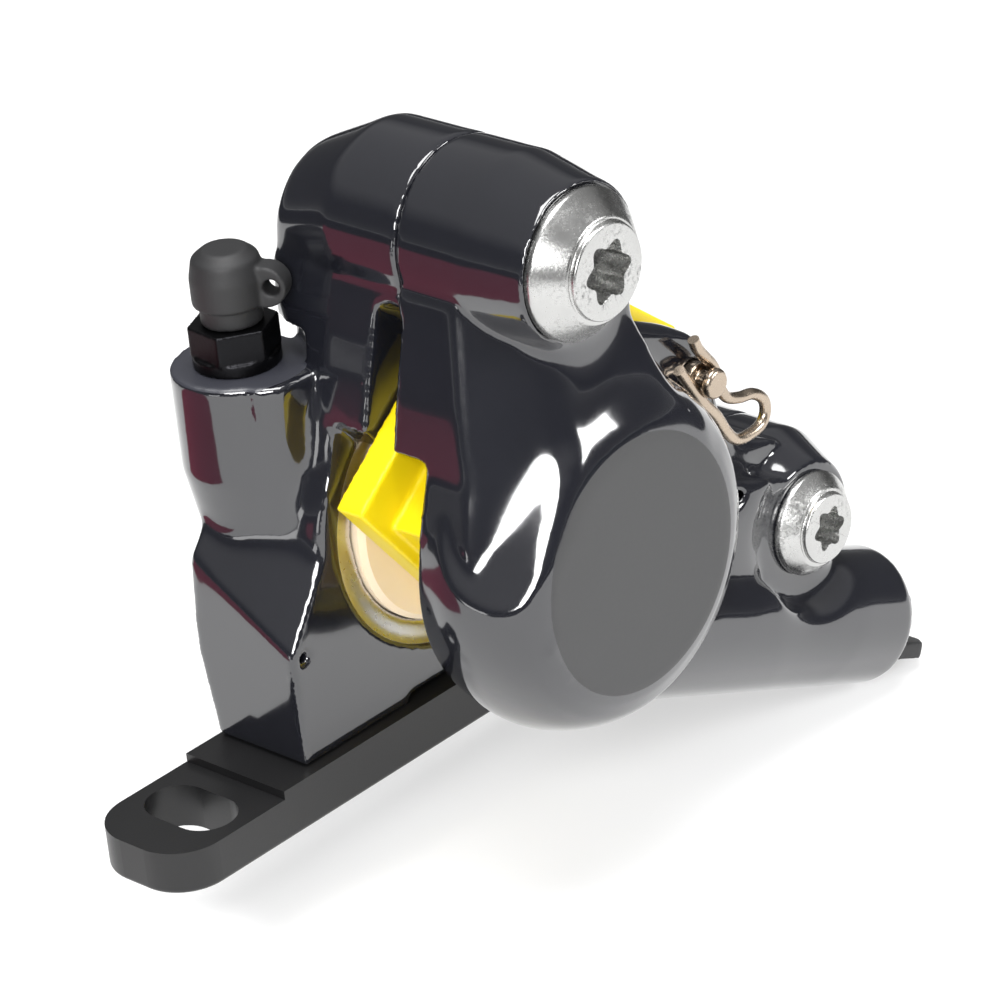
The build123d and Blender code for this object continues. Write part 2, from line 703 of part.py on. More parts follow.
body_bolts = (
    (
        "upper_body_bolt", upper_bolt_x, upper_bolt_z, upper_boss_y + upper_seat_depth, upper_bolt_end_y,
        upper_flange_radius, upper_flange_edge, upper_face_radius, upper_face_y, upper_socket_radius,
        upper_socket_depth,
    ),
    (
        "lower_body_bolt", lower_bolt_x, lower_bolt_z, lower_boss_y, lower_bolt_end_y,
        lower_flange_radius, lower_flange_edge, lower_face_radius, lower_face_y, lower_socket_radius,
        lower_socket_depth,
    ),
)
for (
    label, bolt_x, bolt_z, seat_y, end_y, flange_radius, flange_edge, face_radius, face_y, socket_radius,
    socket_depth,
) in body_bolts:
    with BuildPart() as body_bolt:
        with BuildSketch(profile_plane(bolt_x, bolt_z)):
            with BuildLine():
                Polyline(
                    (0, end_y), (body_bolt_radius - bolt_face_edge, end_y),
                    (body_bolt_radius, end_y - bolt_face_edge), (body_bolt_radius, seat_y),
                    (flange_radius, seat_y), (flange_radius, seat_y - flange_edge),
                    (face_radius, face_y + bolt_face_edge),
                    (face_radius - bolt_face_edge, face_y), (0, face_y), close=True,
                )
            make_face()
        revolve(axis=axis_at(bolt_x, bolt_z))
        with BuildSketch(face_at(face_y)):
            with Locations((bolt_x, bolt_z)):
                Circle(socket_radius * socket_core_share)
                with PolarLocations(socket_radius * (1 - socket_lobe_share), socket_lobes):
                    Circle(socket_radius * socket_lobe_share)
        extrude(amount=-socket_depth, mode=Mode.SUBTRACT)
    body_bolt.part.label = label
    export_step(body_bolt.part, "parts/" + label + ".step")


# Fixing bolts that hold the plate under the foot

with BuildPart() as caliper_fixing_bolts:
    for bolt_x in fixing_bolt_xs:
        add(drilling((bolt_x, 0, fixing_head_gap), (bolt_x, 0, fixing_head_gap + fixing_head_height),
                     fixing_head_radius))
        add(drilling((bolt_x, 0, fixing_head_gap), (bolt_x, 0, fixing_bolt_top_z), fixing_bolt_radius))
    with BuildSketch(Plane.XY.offset(fixing_head_gap)):
        with Locations([(x, 0) for x in fixing_bolt_xs]):
            RegularPolygon(fixing_socket_width / 2, 6, major_radius=False)
    extrude(amount=fixing_socket_depth, mode=Mode.SUBTRACT)
caliper_fixing_bolts.part.label = "caliper_fixing_bolts"
export_step(caliper_fixing_bolts.part, "parts/caliper_fixing_bolts.step")


# Bleed nipple: coned tip, threaded shank, collar, hexagon and hose stem, bored through

with BuildPart() as bleed_nipple:
    with BuildSketch(Plane(origin=(tower_x, tower_y, 0), x_dir=(1, 0, 0), z_dir=(0, -1, 0))):
        with BuildLine():
            Polyline(
                (0, nipple_bottom_z), (nipple_tip_radius, nipple_bottom_z),
                (nipple_radius, nipple_bottom_z + nipple_cone_height), (nipple_radius, tower_top_z),
                (nipple_collar_radius, tower_top_z),
                (nipple_collar_radius, tower_top_z + nipple_collar_height),
                (nipple_stem_radius, tower_top_z + nipple_collar_height),
                (nipple_stem_radius, nipple_stem_top_z - nipple_stem_edge),
                (nipple_stem_radius - nipple_stem_edge, nipple_stem_top_z), (0, nipple_stem_top_z),
                close=True,
            )
        make_face()
    revolve(axis=Axis((tower_x, tower_y, 0), (0, 0, 1)))
    with BuildSketch(Plane.XY.offset(hex_bottom_z)):
        with Locations((tower_x, tower_y)):
            RegularPolygon(hex_width / 2, 6, major_radius=False, rotation=hex_turn)
    extrude(amount=hex_top_z - hex_bottom_z)
    add(drilling((tower_x, tower_y, nipple_bottom_z + nipple_cone_height),
                 (tower_x, tower_y, nipple_stem_top_z), nipple_bore_radius), mode=Mode.SUBTRACT)
    cross_z = nipple_bottom_z + nipple_cone_height + nipple_bore_radius
    add(bar_along_y(tower_x, cross_z, nipple_cross_radius, tower_y, tower_y + nipple_radius + slack),
        mode=Mode.SUBTRACT)
bleed_nipple.part.label = "bleed_nipple"
export_step(bleed_nipple.part, "parts/bleed_nipple.step")


# Rubber cap over the nipple's stem, with its pull ear

with BuildPart() as nipple_cap:
    with BuildSketch(Plane(origin=(tower_x, tower_y, 0), x_dir=(1, 0, 0), z_dir=(0, -1, 0))):
        with BuildLine():
            Polyline(
                (0, hex_top_z), (cap_neck_radius, hex_top_z), (cap_neck_radius, cap_skirt_z),
                (cap_skirt_radius, cap_skirt_z), (cap_skirt_radius, cap_shoulder_z),
                (cap_dome_radius, cap_dome_z), (cap_top_radius, cap_top_z), (0, cap_top_z), close=True,
            )
        make_face()
    revolve(axis=Axis((tower_x, tower_y, 0), (0, 0, 1)))
    ear = Pos(ear_reach, 0, 0) * Cylinder(ear_radius, ear_thickness, mode=Mode.PRIVATE)
    ear_web = Pos(ear_reach / 2, 0, 0) * Box(ear_reach, ear_radius * 2, ear_thickness, mode=Mode.PRIVATE)
    ear_hole = Pos(ear_reach + ear_radius * ear_hole_share, 0, 0) * Cylinder(
        ear_hole_radius, cut_overrun, mode=Mode.PRIVATE)
    add(Pos(tower_x, tower_y, ear_z) * Rot(0, 0, ear_turn) * Rot(90, 0, 0) * (ear + ear_web - ear_hole))
    add(drilling((tower_x, tower_y, hex_top_z), (tower_x, tower_y, nipple_stem_top_z + slack),
                 nipple_stem_radius + running_fit), mode=Mode.SUBTRACT)
nipple_cap.part.label = "nipple_cap"
export_step(nipple_cap.part, "parts/nipple_cap.step")


# Bleed spacer in place of the pads, with a rib in the rotor's slot and a slotted hole for the axle

with BuildPart() as bleed_spacer:
    spacer_face = Plane(origin=(piston_x, spacer_y + spacer_thickness / 2, piston_z),
                        x_dir=pad_direction, z_dir=(0, -1, 0))
    with BuildSketch(spacer_face):
        with BuildLine():
            Polyline(
                (-spacer_inner_end, -spacer_half_width), (spacer_outer_end, -spacer_half_width),
                (spacer_outer_end, spacer_slant_across), (spacer_slant_end, spacer_half_width),
                (-spacer_inner_end, spacer_half_width), close=True,
            )
        make_face()
    extrude(amount=spacer_thickness)
    add(pad_block(-spacer_rib_inner_end, spacer_rib_outer_end, spacer_rib_half_width,
                  spacer_y - spacer_rib_thickness / 2, spacer_y + spacer_rib_thickness / 2))
    for play in (-spacer_play, 0, spacer_play):
        play_x = axle_x + play * math.cos(math.radians(pad_angle))
        play_z = axle_z + play * math.sin(math.radians(pad_angle))
        add(bar_along_y(play_x, play_z, axle_radius + slack, wheel_wall_y, mount_wall_y), mode=Mode.SUBTRACT)
bleed_spacer.part.label = "bleed_spacer"
export_step(bleed_spacer.part, "parts/bleed_spacer.step")


# Pad axle with its slotted head and the groove for the clip

with BuildPart() as pad_axle:
    with BuildSketch(profile_plane(axle_x, axle_z)):
        with BuildLine():
            Polyline(
                (0, axle_end_y), (axle_end_radius - axle_end_edge, axle_end_y),
                (axle_end_radius, axle_end_y + axle_end_edge), (axle_end_radius, axle_end_y + axle_end_width),
                (axle_groove_radius, axle_end_y + axle_end_width),
                (axle_groove_radius, axle_end_y + axle_end_width + axle_groove_width),
                (axle_radius, axle_end_y + axle_end_width + axle_groove_width), (axle_radius, arm_back_y),
                (axle_head_radius, arm_back_y),
                (axle_head_radius, arm_back_y + axle_head_height - axle_end_edge),
                (axle_head_radius - axle_end_edge, arm_back_y + axle_head_height),
                (0, arm_back_y + axle_head_height), close=True,
            )
        make_face()
    revolve(axis=axis_at(axle_x, axle_z))
    with BuildSketch(face_at(arm_back_y + axle_head_height)):
        with Locations((axle_x, axle_z)):
            Rectangle(cut_overrun, axle_slot_width)
    extrude(amount=axle_slot_depth, mode=Mode.SUBTRACT)
pad_axle.part.label = "pad_axle"
export_step(pad_axle.part, "parts/pad_axle.step")


# Sprung wire clip round the axle's groove

with BuildPart() as axle_clip:
    with BuildLine(face_at(axle_groove_y)):
        route = Spline(outline(clip_shares, axle_radius, axle_x, axle_z))
    with BuildSketch(Plane(origin=route @ 0, z_dir=route % 0)):
        Circle(clip_wire_radius)
    sweep(path=route)
axle_clip.part.label = "axle_clip"
export_step(axle_clip.part, "parts/axle_clip.step")


# Plug that keeps dirt out of the hose port until the hose is fitted

with BuildPart() as port_plug:
    add(drilling(port_end - port_direction * (port_bore_depth - plug_end_gap), port_end, plug_radius))
    add(drilling(port_end, port_end + port_direction * plug_flange_height, plug_flange_radius))
    grip_plane = Plane(origin=port_end + port_up * plug_grip_low, x_dir=port_direction, z_dir=port_up)
    with BuildSketch(grip_plane):
        with BuildLine():
            Polyline(
                (0, -plug_grip_half_width), (plug_grip_length - plug_grip_corner, -plug_grip_half_width),
                (plug_grip_length, plug_grip_corner - plug_grip_half_width),
                (plug_grip_length, plug_grip_half_width - plug_grip_corner),
                (plug_grip_length - plug_grip_corner, plug_grip_half_width), (0, plug_grip_half_width),
                close=True,
            )
        make_face()
    extrude(amount=plug_grip_thickness)
    add(drilling(port_end - port_direction * port_bore_depth,
                 port_end - port_direction * (port_bore_depth - plug_hollow_depth), plug_hollow_radius),
        mode=Mode.SUBTRACT)
port_plug.part.label = "port_plug"
export_step(port_plug.part, "parts/port_plug.step")
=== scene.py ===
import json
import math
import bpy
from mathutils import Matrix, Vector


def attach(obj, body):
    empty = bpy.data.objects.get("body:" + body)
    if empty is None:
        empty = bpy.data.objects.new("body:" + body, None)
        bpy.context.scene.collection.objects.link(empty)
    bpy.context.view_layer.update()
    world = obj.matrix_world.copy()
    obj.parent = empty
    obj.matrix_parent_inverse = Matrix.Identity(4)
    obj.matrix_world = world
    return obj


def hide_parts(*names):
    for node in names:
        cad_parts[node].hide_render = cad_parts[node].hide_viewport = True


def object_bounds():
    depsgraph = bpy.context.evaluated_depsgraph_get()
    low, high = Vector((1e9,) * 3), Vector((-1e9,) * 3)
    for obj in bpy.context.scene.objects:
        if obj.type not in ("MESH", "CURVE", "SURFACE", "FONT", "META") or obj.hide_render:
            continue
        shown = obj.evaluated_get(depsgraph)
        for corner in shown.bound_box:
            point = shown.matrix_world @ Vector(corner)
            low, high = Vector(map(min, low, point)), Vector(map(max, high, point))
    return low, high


bl_info = {
    "name": "Brake caliper looks",
    "version": (1, 0, 0),
    "blender": (4, 5, 0),
    "location": "3D View > Sidebar > Caliper",
    "description": "Dresses the packed disc brake caliper with finishes and eased edges, and sets the stage",
    "category": "Object",
}

import bmesh
import bpy
import numpy as np
from mathutils import Matrix, Vector

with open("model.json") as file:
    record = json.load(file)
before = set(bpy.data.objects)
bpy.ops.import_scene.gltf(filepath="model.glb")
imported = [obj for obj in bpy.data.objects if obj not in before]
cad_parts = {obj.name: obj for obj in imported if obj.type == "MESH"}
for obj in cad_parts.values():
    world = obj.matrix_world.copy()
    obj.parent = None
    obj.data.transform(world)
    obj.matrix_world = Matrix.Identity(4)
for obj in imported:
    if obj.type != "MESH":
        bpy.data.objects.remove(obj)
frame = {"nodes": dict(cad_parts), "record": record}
cad_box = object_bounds()

MM = 0.001

# Turn in which the copies are meshed, so that no long edge lies nearly along the grid and shows its steps
TILT = Matrix.Rotation(math.radians(31.0), 4, "X") @ Matrix.Rotation(math.radians(23.0), 4, "Y")

# Refractive index of the coating's glossy top, which sets how strongly it reflects
REFLECTION = 1.75

# Places of the CAD part, in millimetres
PISTON = Vector((-5.2, 0.0, 22.4))
UPPER_BOLT = Vector((-7.05, 0.0, 50.75))
LOWER_BOLT = Vector((24.0, 0.0, 11.5))
TOWER = Vector((-18.15, 5.14, 0.0))
AXLE = Vector((13.05, 0.0, 30.1))
PORT_END = Vector((34.5, -18.3, -3.8))
PORT_DIRECTION = Vector((math.cos(math.radians(22.9)), 0.0, -math.sin(math.radians(22.9))))
AXLE_RADIUS = 1.5

# The clip's wire, and its path in shares of the axle's radius from the axle's middle: (along X, up)
WIRE_RADIUS = 0.54
WIRE_SIDES = 24
ROUTE_STEPS = 10
CLIP_Y = -20.5
CLIP_SHARES = (
    (-0.77, 3.00), (-0.50, 2.33), (0.10, 1.50), (0.63, 0.80), (0.99, -0.03), (1.20, -1.00), (1.73, -1.80),
    (2.80, -2.27), (3.97, -2.53), (4.90, -3.27), (5.03, -4.13), (4.50, -4.80), (3.37, -5.00), (2.23, -4.80),
    (1.43, -3.93), (0.63, -2.53), (-0.37, -1.30), (-1.00, -0.30), (-1.67, 0.73), (-2.23, 1.60),
)

# Meshing of the two halves: the grid's size, the rounds of easing and the triangles kept
HALF_VOXEL = 0.22
HALF_PASSES = 14
HALF_TRIANGLES = 180000
EASING_SHARE = 0.5
MERGE_DISTANCE = 0.001
LARGE_FACE_WEIGHT = 50

# Blends where the cast forms meet: (rounds of easing, centre, radius, fade)
MOUNT_BLENDS = (
    (160, (-19.5, 0.0, 25.0), 2.5, 4.0),
    (120, (-17.5, -1.5, 33.0), 2.0, 3.5),
    (120, (-18.0, 9.0, 21.0), 5.0, 4.0),
    (160, (-10.0, 4.0, 55.0), 3.0, 6.0),
)
WHEEL_BLENDS = (
    (220, (-6.0, -25.0, 41.5), 3.0, 4.5),
    (220, (10.0, -20.0, 13.0), 3.0, 5.0),
    (200, (22.0, -20.0, 3.0), 4.0, 4.0),
    (200, (16.0, -19.0, 22.0), 3.0, 4.0),
    (160, (6.0, -19.0, 36.0), 3.0, 5.0),
    (120, (-13.0, -26.5, 33.0), 4.5, 3.5),
    (120, (-4.0, -27.0, 37.5), 4.0, 4.0),
    (120, (4.0, -26.0, 34.0), 3.0, 4.0),
)

# Bores and seats, cut again once the edges are eased: (start, end, radius)
PISTON_BORE = 11.06
AXLE_HOLE = 1.56
MOUNT_BORES = (
    ((PISTON.x, -13.0, PISTON.z), (PISTON.x, 4.86, PISTON.z), PISTON_BORE),
    ((AXLE.x, -13.0, AXLE.z), (AXLE.x, 6.0, AXLE.z), AXLE_HOLE),
    ((TOWER.x, TOWER.y, 31.0), (TOWER.x, TOWER.y, 42.0), 3.06),
)
WHEEL_BORES = (
    ((PISTON.x, -25.86, PISTON.z), (PISTON.x, -10.0, PISTON.z), PISTON_BORE),
    ((UPPER_BOLT.x, -30.0, UPPER_BOLT.z), (UPPER_BOLT.x, -25.4, UPPER_BOLT.z), 6.85),
    ((AXLE.x, -24.0, AXLE.z), (AXLE.x, -10.0, AXLE.z), AXLE_HOLE),
    (tuple(PORT_END - PORT_DIRECTION * 11.5), tuple(PORT_END + PORT_DIRECTION * 3.0), 4.03),
)
BORE_SIDES = 128

# Body bolts along Y: (node, centre, end, seat, flange's radius and edge, cone's radius, face, socket's radius
# and depth)
BODY_BOLTS = (
    ("upper_body_bolt", UPPER_BOLT, 1.0, 25.4, 6.65, 0.8, 4.35, 29.0, 2.8, 3.2),
    ("lower_body_bolt", LOWER_BOLT, 3.0, 21.6, 4.9, 0.6, 3.4, 24.1, 2.1, 2.4),
)
SHANK_RADIUS = 3.0
SHANK_CHAMFER = 0.4
FACE_STEP = 0.55
FACE_RIM = 0.25
FACE_INSET = 0.1
BOLT_SIDES = 144
BOLT_ROUNDING = 0.25
CORNER_SHARE = 0.45
BOLT_EDGE = 0.12
BOLT_BEVEL_ANGLE = math.radians(50.0)
BOLT_SHARP_ANGLE = math.radians(40.0)
LOBES = 6
LOBE_SHARE = 0.13
SOCKET_OVERRUN = 1.0

# Small pieces made again with eased edges: (node, grid size, rounds of easing, finish)
EASED_PIECES = (
    ("bleed_nipple", 0.12, 4, "dark"),
    ("nipple_cap", 0.12, 14, "rubber"),
    ("bleed_spacer", 0.2, 8, "yellow"),
    ("pad_axle", 0.12, 3, "bronze"),
    ("port_plug", 0.2, 8, "rubber"),
)

# CAD nodes that keep their own mesh: (node, finish)
DRESSED_NODES = (
    ("mount_plate", "plate"),
    ("caliper_fixing_bolts", "dark"),
    ("mount_side_seal", "rubber"),
    ("wheel_side_seal", "rubber"),
    ("crossing_ring", "rubber"),
    ("mount_side_piston", "cream"),
    ("wheel_side_piston", "cream"),
)

# Finishes: heights of their relief in metres, and the regions of the coating that look otherwise
FINE_RELIEF = 0.00001
PLATED_RELIEF = 0.000012
RUBBER_RELIEF = 0.00002
REGION_EDGE = 0.05
BARE_REGION = {"radius": 13.36, "low_y": -16.6, "high_y": -4.4}
BARE_TONE = (0.62, 0.62, 0.63)
TOWER_TOP_REGION = {"radius": 6.6, "low_z": 38.5, "high_z": 39.1}
DISC_REGION = {"radius": 11.75, "low_y": -40.0, "high_y": -27.8, "soft": 0.12}
COAT_SHARE = 0.6
GLOW_REACH = (0.002, 0.0014, 0.0006)

# Floor, in metres, with the share of its tone that it scatters and the light it gives itself
FLOOR_SIZE = 6.0
FLOOR_DROP = 0.0002
FLOOR_SHARE = 0.5
FLOOR_GLOW = 0.62

# Cards that only the gloss sees, in millimetres: the dark room as (name, middle, size), the curtain by its
# direction and its corners as (out, sideways), and the bright edge card
ROOM_RISE = 0.4
ROOM_CARDS = (
    ("room_left", (-1150.0, 0.0), (1800.0, 4000.0)),
    ("room_right", (1150.0, 0.0), (1800.0, 4000.0)),
    ("room_back", (0.0, 1160.0), (500.0, 1800.0)),
    ("room_front", (0.0, -1160.0), (500.0, 1800.0)),
)
ROOM_SHARES = ((-0.5, -0.5), (0.5, -0.5), (0.5, 0.5), (-0.5, 0.5))
CURTAIN_OUT = Vector((-0.819, 0.574, 0.0))
CURTAIN_SIDE = Vector((0.574, 0.819, 0.0))
CURTAIN_RISE = 0.6
CURTAIN_CORNERS = ((80.0, -45.0), (420.0, -120.0), (420.0, 120.0), (80.0, 45.0))
EDGE_CARD_X = -300.0
EDGE_CARD_Y = (-45.0, 30.0)
EDGE_CARD_TOP = 30.0
EDGE_CARD_STRENGTH = 3.0
WHITE = (1.0, 1.0, 1.0)

# Surrounding light from straight down to straight up: (share of the way, tone)
SKY_LOW = 0.2
SKY_HIGH = 0.35
SKY_STOPS = ((0.04, 0.12), (0.1, 0.08), (0.3, 0.07), (0.5, 0.3))

# Soft lamps, in metres and watts: (name, place, size, power), all turned to the object's middle
LAMPS = (
    ("key_light", (-0.55, -0.35, 0.35), 0.3, 5.0),
    ("side_light", (0.3, -0.6, 0.3), 0.25, 3.5),
    ("top_light", (-0.05, -0.05, 0.8), 0.5, 8.0),
)
LAMP_TARGET = Vector((0.0, 0.0, 0.02))

# Camera at the photograph's angle, in metres, with its lens and sensor in millimetres
CAMERA_PLACE = Vector((-0.2800, -0.2847, 0.2214))
CAMERA_RIGHT = Vector((0.66641, -0.73954, -0.09468))
CAMERA_UP = Vector((0.39519, 0.24268, 0.88597))
CAMERA_BACK = Vector((-0.63223, -0.62783, 0.45399))
CAMERA_LENS = 180.0
CAMERA_SENSOR = 36.0
CAMERA_FAR = 20.0


def length(name, description, default):
    """A property for a length in metres, given in millimetres."""
    return bpy.props.FloatProperty(
        name=name, description=description, default=default * MM, min=0.0, precision=6, unit="LENGTH")


def colour(name, description, default):
    """A property for a colour."""
    return bpy.props.FloatVectorProperty(
        name=name, description=description, default=default, size=3, min=0.0, max=1.0, subtype="COLOR")


class CoatingSettings(bpy.types.PropertyGroup):
    body: colour("Body coating", "Gloss coating of the two halves", (0.009, 0.0095, 0.013))
    disc: colour("Disc", "Satin disc over the wheel side's piston", (0.013, 0.013, 0.0142))
    plate: colour("Plate", "Satin coating of the mounting plate", (0.008, 0.008, 0.0085))
    grain: length("Grain", "Size of the coating's fine waviness", 2.2)


class MetalSettings(bpy.types.PropertyGroup):
    zinc: colour("Zinc", "Bright plating of the body bolts", (0.60, 0.60, 0.59))
    bronze: colour("Bronze", "Tint of the clip and the axle", (0.52, 0.43, 0.34))
    dark: colour("Dark steel", "Black plating of the nipple and the fixing bolts", (0.02, 0.02, 0.022))


class PlasticSettings(bpy.types.PropertyGroup):
    yellow: colour("Yellow", "Bleed spacer", (0.80, 0.61, 0.004))
    cream: colour("Cream", "Pistons", (0.80, 0.66, 0.48))
    rubber: colour("Rubber", "Nipple's cap, seals and plug", (0.016, 0.016, 0.017))


class StageSettings(bpy.types.PropertyGroup):
    floor: colour("Floor", "Plain pale floor", (0.86, 0.86, 0.86))
    room: colour("Room", "Dark surroundings that the gloss reflects", (0.012, 0.012, 0.015))
    curtain: colour("Curtain", "Dull red card behind the left, seen only as a reflection", (0.46, 0.07, 0.13))


class Value:
    """A shader socket that takes part in Python expressions."""

    def __init__(self, kit, socket):
        self.kit = kit
        self.socket = socket

    def maths(self, operation, *others):
        return self.kit.node("ShaderNodeMath", {"operation": operation},
                             {i: v for i, v in enumerate((self,) + others)}).out()

    def __add__(self, other):
        return self.maths("ADD", other)

    def __radd__(self, other):
        return self.maths("ADD", other)

    def __sub__(self, other):
        return self.maths("SUBTRACT", other)

    def __rsub__(self, other):
        return (self * -1.0) + other

    def __mul__(self, other):
        return self.maths("MULTIPLY", other)

    def __rmul__(self, other):
        return self.maths("MULTIPLY", other)

    def __pow__(self, other):
        return self.maths("POWER", other)

    def clipped(self):
        return self.maths("MAXIMUM", 0.0).maths("MINIMUM", 1.0)


class Made:
    """A node just made, whose outputs are read by name or number."""

    def __init__(self, kit, node):
        self.kit = kit
        self.node = node

    def out(self, key=0):
        return Value(self.kit, self.node.outputs[key])


class Finish:
    """A material built up from nodes."""

    def __init__(self, name):
        self.material = bpy.data.materials.new(name)
        self.material.use_nodes = True
        self.tree = self.material.node_tree
        self.tree.nodes.clear()

    def node(self, kind, settings=None, sockets=None):
        node = self.tree.nodes.new(kind)
        for key, setting in (settings or {}).items():
            setattr(node, key, setting)
        for key, value in (sockets or {}).items():
            if isinstance(value, Value):
                self.tree.links.new(value.socket, node.inputs[key])
            else:
                node.inputs[key].default_value = value
        return Made(self, node)

    def place(self):
        return self.node("ShaderNodeTexCoord").out("Object")

    def noise(self, scale, detail=2.0, roughness=0.5, vector=None):
        return self.node("ShaderNodeTexNoise", {}, {
            "Vector": vector or self.place(), "Scale": scale, "Detail": detail,
            "Roughness": roughness}).out(0)

    def mix(self, factor, first, second):
        made = self.node("ShaderNodeMix", {"data_type": "RGBA"}, {0: factor, 6: first, 7: second})
        return Value(self, made.node.outputs[2])

    def bump(self, height, distance, strength):
        sockets = {"Height": height, "Distance": distance, "Strength": strength}
        return self.node("ShaderNodeBump", {}, sockets).out(0)

    def surface(self, **sockets):
        named = {key.replace("_", " "): value for key, value in sockets.items()}
        shader = self.node("ShaderNodeBsdfPrincipled", {}, named)
        out = self.node("ShaderNodeOutputMaterial")
        self.tree.links.new(shader.node.outputs[0], out.node.inputs[0])
        return self.material


def rgba(tone, share=1.0):
    return (tone[0] * share, tone[1] * share, tone[2] * share, 1.0)


def inside(kit, axis_x, axis_z, radius, low_y, high_y, soft=REGION_EDGE):
    """One inside a round region about an axis along Y, zero outside, in millimetres."""
    parts = kit.node("ShaderNodeSeparateXYZ", {}, {0: kit.place()})
    x, y, z = (parts.out(key) * (1 / MM) for key in ("X", "Y", "Z"))
    out = ((x - axis_x) ** 2.0 + (z - axis_z) ** 2.0) ** 0.5
    return (((radius - out) * (1 / soft)).clipped() * ((y - low_y) * (1 / soft)).clipped()
            * ((high_y - y) * (1 / soft)).clipped())


def round_up(kit, axis_x, axis_y, radius, low_z, high_z, soft=REGION_EDGE):
    """One inside a round region about an axis along Z, zero outside, in millimetres."""
    parts = kit.node("ShaderNodeSeparateXYZ", {}, {0: kit.place()})
    x, y, z = (parts.out(key) * (1 / MM) for key in ("X", "Y", "Z"))
    out = ((x - axis_x) ** 2.0 + (y - axis_y) ** 2.0) ** 0.5
    return (((radius - out) * (1 / soft)).clipped() * ((z - low_z) * (1 / soft)).clipped()
            * ((high_z - z) * (1 / soft)).clipped())


def coated_metal(name, tone, roughness, wave_size, disc_tone=None):
    """Sprayed coating over cast metal, with the bore's bare metal and a satin disc where there is one."""
    swing, bare_rise, top_rise, disc_rise = 0.05, 0.18, 0.35, 0.4
    kit = Finish(name)
    mottle = kit.noise(scale=90.0, detail=3.0)
    waves = kit.noise(scale=1.0 / wave_size)
    dust = kit.noise(scale=2600.0)
    base = kit.mix(mottle, rgba(tone, share=0.8), rgba(tone, share=1.25))
    rough = mottle * swing + dust * swing + (roughness - swing)
    bare = inside(kit, PISTON.x, PISTON.z, **BARE_REGION)
    base = kit.mix(bare, base, rgba(BARE_TONE))
    rough = rough + bare * bare_rise
    coat = 1.0 - bare
    top = round_up(kit, TOWER.x, TOWER.y, **TOWER_TOP_REGION)
    base = kit.mix(top, base, rgba(tone, share=2.6))
    rough = rough + top * top_rise
    coat = coat - top
    if disc_tone:
        disc = inside(kit, PISTON.x, PISTON.z, **DISC_REGION)
        base = kit.mix(disc, base, rgba(disc_tone))
        rough = rough + disc * disc_rise
        coat = coat - disc
    normal = kit.bump(waves, FINE_RELIEF, strength=0.5)
    return kit.surface(Base_Color=base, Roughness=rough, Normal=normal, Metallic=bare, IOR=REFLECTION,
                       Coat_Weight=coat.clipped() * COAT_SHARE, Coat_Roughness=0.03)


def satin_coating(name, tone, roughness):
    """Satin coating with a fine sprayed grain."""
    swing = 0.1
    kit = Finish(name)
    mottle = kit.noise(scale=140.0, detail=3.0)
    grain = kit.noise(scale=5200.0)
    base = kit.mix(mottle, rgba(tone, share=0.85), rgba(tone, share=1.2))
    rough = mottle * swing + grain * swing + (roughness - swing)
    normal = kit.bump(grain, FINE_RELIEF, strength=0.5)
    return kit.surface(Base_Color=base, Roughness=rough, Normal=normal)


def plated_metal(name, tone, roughness, scratch, speckle=0.0):
    """Bright plating with a fine grain, worn patches and a little tone change."""
    cloud_swing, pit_rise, pit_depth = 0.1, 0.3, 2.0
    pit_start, pit_slope, patch_start, patch_slope = 0.52, 9.0, 0.45, 5.0
    kit = Finish(name)
    place = kit.place()
    cloud = kit.noise(scale=320.0, detail=4.0, vector=place)
    fine = kit.noise(scale=3800.0, detail=3.0, vector=place)
    spots = kit.noise(scale=2400.0, detail=4.0, roughness=0.7, vector=place)
    pits = ((spots - pit_start) * pit_slope).clipped() * ((cloud - patch_start) * patch_slope).clipped()
    base = kit.mix(cloud, rgba(tone, share=0.78), rgba(tone))
    base = kit.mix(pits * speckle, base, rgba(tone, share=0.3))
    rough = fine * scratch + cloud * cloud_swing + pits * (speckle * pit_rise) + roughness
    normal = kit.bump(fine + pits * (speckle * pit_depth), PLATED_RELIEF, strength=0.45)
    return kit.surface(Base_Color=base, Metallic=1.0, Roughness=rough, Normal=normal)


def moulded(name, tone, roughness, grain_height, subsurface=0.0):
    """Moulded plastic or rubber with a fine texture."""
    cloud_swing, fine_swing, mean_swing = 0.1, 0.06, 0.08
    kit = Finish(name)
    cloud = kit.noise(scale=180.0, detail=3.0)
    fine = kit.noise(scale=4200.0)
    base = kit.mix(cloud, rgba(tone, share=0.9), rgba(tone, share=1.05))
    rough = cloud * cloud_swing + fine * fine_swing + (roughness - mean_swing)
    normal = kit.bump(fine, grain_height, strength=0.5)
    return kit.surface(Base_Color=base, Roughness=rough, Normal=normal, Subsurface_Weight=subsurface,
                       Subsurface_Radius=GLOW_REACH, Subsurface_Scale=0.5)


def node_object(name):
    return frame["nodes"][name]


def give(name, material):
    """Puts one material on every slot of a CAD node."""
    item = node_object(name)
    if not item.material_slots:
        raise RuntimeError("CAD node " + name + " has no material slot")
    for slot in item.material_slots:
        slot.link = "OBJECT"
        slot.material = material


def copy_of(name, node):
    """A merged copy of a CAD node's mesh as a new object."""
    source = node_object(node)
    mesh = source.data.copy()
    mesh.name = name
    mesh.transform(source.matrix_world)
    item = bpy.data.objects.new(name, mesh)
    bpy.context.scene.collection.objects.link(item)
    work = bmesh.new()
    work.from_mesh(mesh)
    bmesh.ops.remove_doubles(work, verts=work.verts, dist=MERGE_DISTANCE * MM)
    work.to_mesh(mesh)
    work.free()
    mesh.materials.clear()
    return item


def new_object(name, mesh):
    item = bpy.data.objects.new(name, mesh)
    bpy.context.scene.collection.objects.link(item)
    return item


def finished(item):
    """Applies an object's modifiers to its mesh."""
    graph = bpy.context.evaluated_depsgraph_get()
    mesh = bpy.data.meshes.new_from_object(item.evaluated_get(graph))
    item.modifiers.clear()
    item.data = mesh


